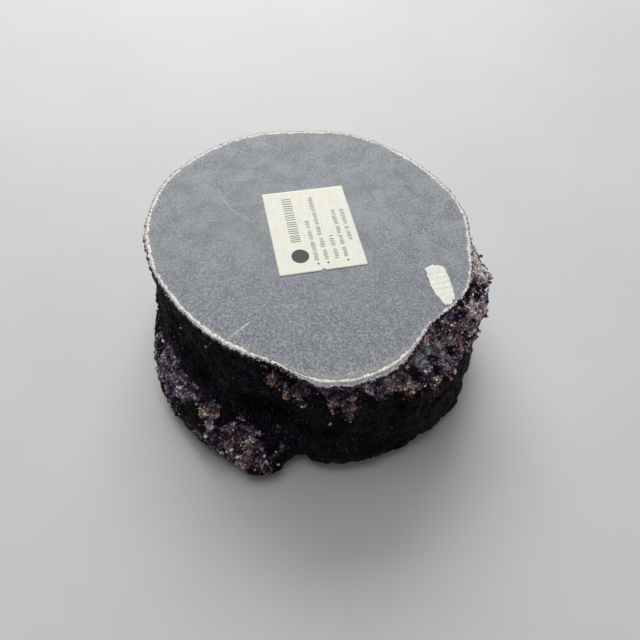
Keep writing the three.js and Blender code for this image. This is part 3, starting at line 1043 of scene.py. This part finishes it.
def ribbons(name, marks, rise):
    """Thin ribbons that taper to their ends, lying on the paint."""
    mesh = bmesh.new()
    along = np.linspace(0, 1, 16)
    for width, points in marks:
        line = np.array(points) * MM + np.array(AXIS)
        stations = np.linspace(0, 1, len(line))
        track = np.stack([np.interp(along, stations, line[:, k]) for k in range(2)], -1)
        ahead = np.gradient(track, axis=0)
        sideways = units(np.stack([-ahead[:, 1], ahead[:, 0]], -1))
        half = width * MM / 2 * np.sqrt(np.sin(np.pi * (0.06 + 0.88 * along)))
        rows = []
        for side, z in ((-1, -rise), (1, -rise), (1, rise), (-1, rise)):
            edge = track + side * half[:, None] * sideways
            rows.append([mesh.verts.new((*point, PAINT_TOP + z)) for point in edge])
        for first, second in zip(rows, rows[1:] + rows[:1]):
            for k in range(len(along) - 1):
                mesh.faces.new((first[k], second[k], second[k + 1], first[k + 1]))
        for end in (0, -1):
            mesh.faces.new([row[end] for row in rows])
    bmesh.ops.recalc_face_normals(mesh, faces=mesh.faces)
    return mesh_of(name, mesh)


# ---- The label and the sticker ----
LABEL_WIDTH, LABEL_LENGTH = 25, 32  # mm
LABEL_NICK = 0.9  # mm
LABEL_TURN = math.radians(16.3)
PAPER = 0.12 * MM
LABEL_TOP = PAINT_TOP + 0.2 * MM
# Printing on the label, in mm from its lower left corner, along its width and its length.
HEADING_FROM, HEADING_HEIGHT = 5.3, 2.9
HEADING = [
    (11.4, 14.0), (14.7, 16.7), (17.4, 19.3), (20.0, 22.1), (22.8, 23.2), (23.9, 26.0), (26.7, 28.9),
]
STROKE = 0.34
SPOT_CENTRE, SPOT_RADIUS = (6.9, 6.1), 2.5
DOT_RADIUS = 0.32
LINES = [  # where a line starts across the label, whether a dot leads it, and its words along it
    (10.5, True, [(3.9, 6.6), (7.4, 11.0), (11.8, 15.4), (16.2, 19.4)]),
    (13.3, True, [(3.9, 7.6), (8.4, 12.2), (13.0, 16.4), (17.2, 21.8), (22.6, 28.6)]),
    (16.3, False, [(3.7, 7.6), (8.4, 11.6), (12.0, 12.4)]),
    (19.0, True, [(3.9, 7.8), (8.6, 12.0), (12.8, 15.6), (16.4, 22.6)]),
    (21.7, False, [(9.9, 13.4), (14.2, 15.4), (16.2, 22.4)]),
]
LETTER_HEIGHT, LETTER_EVERY = 1.35, 0.62
SPOT_INK, HEADING_INK, TEXT_INK = 0.8, 0.5, 0.4  # how strongly each is printed


def on_label(across, along, z):
    """A place on the label, by mm from its lower left corner."""
    u = (across - LABEL_WIDTH / 2) * MM
    v = (along - LABEL_LENGTH / 2) * MM
    centre = middle("paper_label")
    x = centre.x + u * math.cos(LABEL_TURN) - v * math.sin(LABEL_TURN)
    y = centre.y + u * math.sin(LABEL_TURN) + v * math.cos(LABEL_TURN)
    wave = 0.05 * MM * noise.noise(Vector((x, y, 0.0)) / (5 * MM))
    return (x, y, z + wave)


def thin_sheet(name, grid, thickness):
    """A closed sheet from a grid of points on its upper face."""
    rows, columns = len(grid), len(grid[0])
    top = [point for row in grid for point in row]
    bottom = [(x, y, z - thickness) for x, y, z in top]
    under = len(top)
    faces = []
    for i in range(rows - 1):
        for j in range(columns - 1):
            a = i * columns + j
            quad = (a, a + 1, a + columns + 1, a + columns)
            faces.append(quad)
            faces.append(tuple(under + k for k in reversed(quad)))
    across, along = range(columns - 1), range(rows - 1)
    loop = list(across) + [i * columns + columns - 1 for i in along]
    loop += [under - 1 - j for j in across] + [(rows - 1 - i) * columns for i in along]
    for first, second in zip(loop, loop[1:] + loop[:1]):
        faces.append((second, first, under + first, under + second))
    return mesh_from(name, top + bottom, faces)


def paper_label():
    """Paper with a small tear in its lower edge."""
    grid = []
    for along in np.linspace(0, LABEL_LENGTH, 61):
        row = []
        for across in np.linspace(0, LABEL_WIDTH, 91):
            nick = LABEL_NICK * max(0.0, 1 - abs(across - LABEL_WIDTH / 2) / LABEL_NICK)
            row.append(on_label(across, max(along, nick), LABEL_TOP - 0.04 * MM))
        grid.append(row)
    return thin_sheet("paper_label", grid, PAPER)


def print_bar(mesh, corner, across, along, strength):
    """A bar between two numbers across the label and two along it; corner(u, v, ink) makes a vertex."""
    corners = [(across[0], along[0]), (across[1], along[0]), (across[1], along[1]), (across[0], along[1])]
    mesh.faces.new([corner(u, v, strength) for u, v in corners])


def print_spot(mesh, corner, centre, radius, turns, strength):
    """A filled circle, in rings that follow the paper's wave."""
    inner = [corner(*centre, strength)] * turns
    for share in (0.25, 0.5, 0.75, 1.0):
        outer = []
        for k in range(turns):
            a = 2 * math.pi * k / turns
            u = centre[0] + share * radius * math.cos(a)
            v = centre[1] + share * radius * math.sin(a)
            outer.append(corner(u, v, strength))
        for k in range(turns):
            after = (k + 1) % turns
            mesh.faces.new(list(dict.fromkeys((inner[k], outer[k], outer[after], inner[after]))))
        inner = outer


def label_print():
    """Plain upright strokes, dots and a round spot, a hair above the paper: nothing that can be read."""
    random = np.random.default_rng(SEED)
    mesh = bmesh.new()
    ink = mesh.verts.layers.float.new("ink")

    def corner(u, v, strength):
        made = mesh.verts.new(on_label(u, v, LABEL_TOP - 0.025 * MM))
        made[ink] = strength
        return made

    heading = (HEADING_FROM, HEADING_FROM + HEADING_HEIGHT)
    for start, end in HEADING:
        strokes = 1 + round(end - start)
        for at in np.linspace(start, end - STROKE, strokes) if end - start > 1 else [start]:
            print_bar(mesh, corner, heading, (at, at + STROKE), HEADING_INK)
    for low, dot, words in LINES:
        if dot:
            print_spot(mesh, corner, (low + 0.9, 2.6), DOT_RADIUS, 12, SPOT_INK)
        for at, end in words:
            while at < end - 0.2:
                tall = LETTER_HEIGHT * random.uniform(0.72, 1.0)
                width = random.uniform(0.26, 0.4)
                letter = (low + LETTER_HEIGHT - tall, low + LETTER_HEIGHT)
                print_bar(mesh, corner, letter, (at, at + width), TEXT_INK)
                at += LETTER_EVERY
    print_spot(mesh, corner, SPOT_CENTRE, SPOT_RADIUS, 36, SPOT_INK)
    sheet = add_object("print_blank", mesh_of("label_print", mesh))
    thicken = sheet.modifiers.new("Thicken", "SOLIDIFY")
    thicken.thickness = 0.01 * MM
    made = with_modifiers(sheet)
    bpy.data.objects.remove(sheet)
    return made


def sticker_outline(points_per_side=14):
    """Points along the CAD remnant's outline, in order, evenly between its corners."""
    points = coordinates(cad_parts["sticker_remnant"].data)
    top = points[points[:, 2] > points[:, 2].max() - 0.01 * MM]
    offsets = top - top.mean(0)
    corners = top[np.argsort(np.arctan2(offsets[:, 1], offsets[:, 0]))]
    share = np.arange(points_per_side)[:, None] / points_per_side
    sides = [first + share * (second - first) for first, second in zip(corners, np.roll(corners, -1, 0))]
    return np.concatenate(sides)


def sticker_remnant():
    """Torn paper with a frayed edge and low ridges across it."""
    outline = sticker_outline()
    centre = outline.mean(0)
    steps, rings = len(outline), 16
    reach = (outline - centre) * (1 + 0.10 * fractal(outline, 1.1))[:, None]
    grid = []
    for share in np.arange(1, rings + 1) / rings:
        flat = (centre + share * reach) * [1, 1, 0]
        ridges = 0.04 * np.sin((flat[:, 1] - 0.35 * flat[:, 0]) / (0.3 * MM))
        ripple = ridges + 0.07 * fractal(flat, 1.5, 3)
        z = PAINT_TOP + (0.17 + ripple * (1 - share**6)) * MM
        grid.append(flat + np.stack([0 * z, 0 * z, np.minimum(z, centre[2])], -1))
    foot = PAINT_TOP - 0.02 * MM
    bottom = grid[-1] * [1, 1, 0] + [0, 0, foot]
    centres = [[centre[0], centre[1], PAINT_TOP + 0.17 * MM], [centre[0], centre[1], foot]]
    rows = rings + 1
    hub = rows * steps
    ends = fan_faces(0, steps, hub) + flipped(fan_faces(hub - steps, steps, hub + 1))
    faces = flipped(tube_faces(rows, steps)) + ends
    return mesh_from("sticker_remnant", np.concatenate([*grid, bottom, centres]), faces)


def make_base():
    cream = paper_material("label_paper", (0.87, 0.86, 0.76), (0.76, 0.75, 0.64))
    white = paper_material("torn_paper", (0.88, 0.87, 0.80), (0.70, 0.69, 0.62))
    piece("painted_base", painted_base(), paint_material(), ["base_coat"])
    faint = mark_material("paint_scuffs", (0.25, 0.26, 0.29), (0.38, 0.40, 0.43))
    pale = mark_material("pale_lint", (0.34, 0.34, 0.32), (0.60, 0.59, 0.50))
    piece("paint_scuffs", ribbons("scuffs", SCUFFS, 0.006 * MM), faint)
    piece("lint", ribbons("lint", LINT, 0.03 * MM), pale)
    piece("cream_label", paper_label(), cream, ["paper_label"])
    piece("label_print", label_print(), ink_material())
    piece("torn_sticker", sticker_remnant(), white, ["sticker_remnant"])


# ---- The tealight ----


# Sizes in mm.
FOIL = 0.3
CUP_WALL_RADIUS = (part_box("tealight_cup")[1].x - AXIS.x) / MM - 0.5  # the lip stands out from the wall
CUP_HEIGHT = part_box("tealight_cup")[1].z / MM
WAX_LOW, WAX_TOP = (corner.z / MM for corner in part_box("tealight_wax"))
SUSTAINER_ROOM = 7.65


def cup_mesh():
    """The drawn cup, mouth down, with shallow flutes in its wall and a rolled lip."""
    r, h = CUP_WALL_RADIUS, CUP_HEIGHT
    inner = r - FOIL
    profile = [
        (0, h - FOIL), (inner - 4, h - FOIL), (inner - 1.6, h - FOIL), (inner - 0.7, h - 1.3),
        (inner - 0.3, h - 6), (inner, 1.6), (inner, 0.5), (inner + 0.1, 0.1), (r + 0.2, 0.0),
        (r + 0.45, 0.15), (r + 0.5, 0.4), (r + 0.3, 0.7), (r, 0.9), (r, 1.6), (r - 0.3, h - 6),
        (r - 0.55, h - 1.4), (r - 0.9, h - 0.5), (r - 1.6, h - 0.05), (r - 4, h), (r - 4.6, h - 0.25),
        (r - 9, h - 0.25), (0, h - 0.25),
    ]

    def flutes(radius, z, a):
        middle_share = smoothstep(1.2, 3, z) * smoothstep(h - 1.2, h - 3, z)
        return 0.07 * math.sin(60 * a) * middle_share * (radius > inner - 1)

    return revolve("tealight_cup", profile, 360, flutes)


def wax_mesh():
    """The wax with a raised rim where it climbed the cup as it set."""
    r, low, top = CUP_WALL_RADIUS - FOIL, WAX_LOW, WAX_TOP
    profile = [
        (0, low + 0.5), (1.1, low + 0.35), (3, low + 0.6), (8, low + 0.7), (r - 3, low + 0.62),
        (r - 1.2, low + 0.35), (r - 0.45, low), (r - 0.4, low + 0.5), (r - 0.7, top - 5),
        (r - 1.2, top - 1.3), (r - 2, top), (SUSTAINER_ROOM, top), (SUSTAINER_ROOM, top - 0.45),
        (0, top - 0.45),
    ]
    return revolve("tealight_wax", profile, 200)


def wick_mesh():
    """Three twisted strands that stick out of the wax."""
    low, high = (corner.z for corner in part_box("tealight_wick"))
    strands, steps, sides = 3, 60, 10
    core, strand = 0.42 * MM, 0.46 * MM
    turns_per_length = 3.5
    ends = [tuple(reversed(range(sides))), tuple(range(steps * sides, (steps + 1) * sides))]
    one = tube_faces(steps + 1, sides) + ends
    vertices, faces = [], []
    for s in range(strands):
        faces += [tuple(len(vertices) + k for k in face) for face in one]
        for i in range(steps + 1):
            share = i / steps
            a = 2 * math.pi * (turns_per_length * share + s / strands)
            thick = strand * (1.0 if 0 < i < steps else 0.7)
            for k in range(sides):
                b = 2 * math.pi * k / sides
                r = core + thick * math.cos(b)
                side = thick * math.sin(b)
                x = AXIS.x + r * math.cos(a) - side * math.sin(a)
                y = AXIS.y + r * math.sin(a) + side * math.cos(a)
                vertices.append((x, y, low + (high - low) * share))
    return mesh_from("tealight_wick", vertices, faces)


def make_tealight():
    piece("foil_cup", cup_mesh(), foil_material(), ["tealight_cup"], "tealight")
    piece("paraffin_fill", wax_mesh(), wax_material(), ["tealight_wax"], "tealight")
    piece("braided_wick", wick_mesh(), wick_material(), ["tealight_wick"], "tealight")
    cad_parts["wick_sustainer"].material_slots[0].material = tin_material()


# ---- Stage ----
# The camera, from the middle of the base's painted face, as shares of the base's radius.
CAMERA_AT = (0.095, -2.268, 2.451)
CAMERA_AIM = (0.095, -0.646, 0.0)
CAMERA_ROLL = math.radians(4.9)
CAMERA_LENS = 29.7
SENSOR = 36


def make_camera():
    data = bpy.data.cameras.new("camera")
    data.lens = CAMERA_LENS
    data.sensor_width = SENSOR
    data.clip_start = 0.005
    made = add_object("camera", data)
    base = Vector((AXIS.x, AXIS.y, PAINT_TOP))
    at = base + Vector(CAMERA_AT) * BASE_RADIUS
    aim = base + Vector(CAMERA_AIM) * BASE_RADIUS
    look = (aim - at).to_track_quat("-Z", "Y").to_matrix().to_4x4()
    made.matrix_world = Matrix.Translation(at) @ look @ Matrix.Rotation(CAMERA_ROLL, 4, "Z")
    bpy.context.scene.camera = made


def area_light(name, at, aim, size, watts):
    data = bpy.data.lights.new(name, "AREA")
    data.shape = "RECTANGLE"
    data.size, data.size_y = size
    data.energy = watts
    made = add_object(name, data)
    made.location = at
    made.rotation_euler = (Vector(aim) - Vector(at)).to_track_quat("-Z", "Y").to_euler()


def make_stage():
    floor = mesh_from("floor", [(-3, -3, 0), (3, -3, 0), (3, 3, 0), (-3, 3, 0)], [(0, 1, 2, 3)])
    add_object("floor", floor, floor_material())
    centre = (0, 0, PAINT_TOP)
    area_light("back_softbox", (-0.15, 0.62, 0.62), centre, (0.7, 0.4), 6.8)
    area_light("top_softbox", (-0.1, 0.1, 0.9), centre, (0.6, 0.6), 2.8)
    area_light("right_fill", (0.7, -0.25, 0.35), centre, (0.4, 0.4), 0.6)
    world = bpy.data.worlds.new("studio")
    world.use_nodes = True
    background = world.node_tree.nodes["Background"]
    background.inputs["Color"].default_value = (0.9, 0.93, 1.0, 1)
    background.inputs["Strength"].default_value = 0.1
    bpy.context.scene.world = world
    bpy.context.scene.view_settings.view_transform = "Standard"


make_camera()
make_stone()
make_base()
make_tealight()
make_stage()
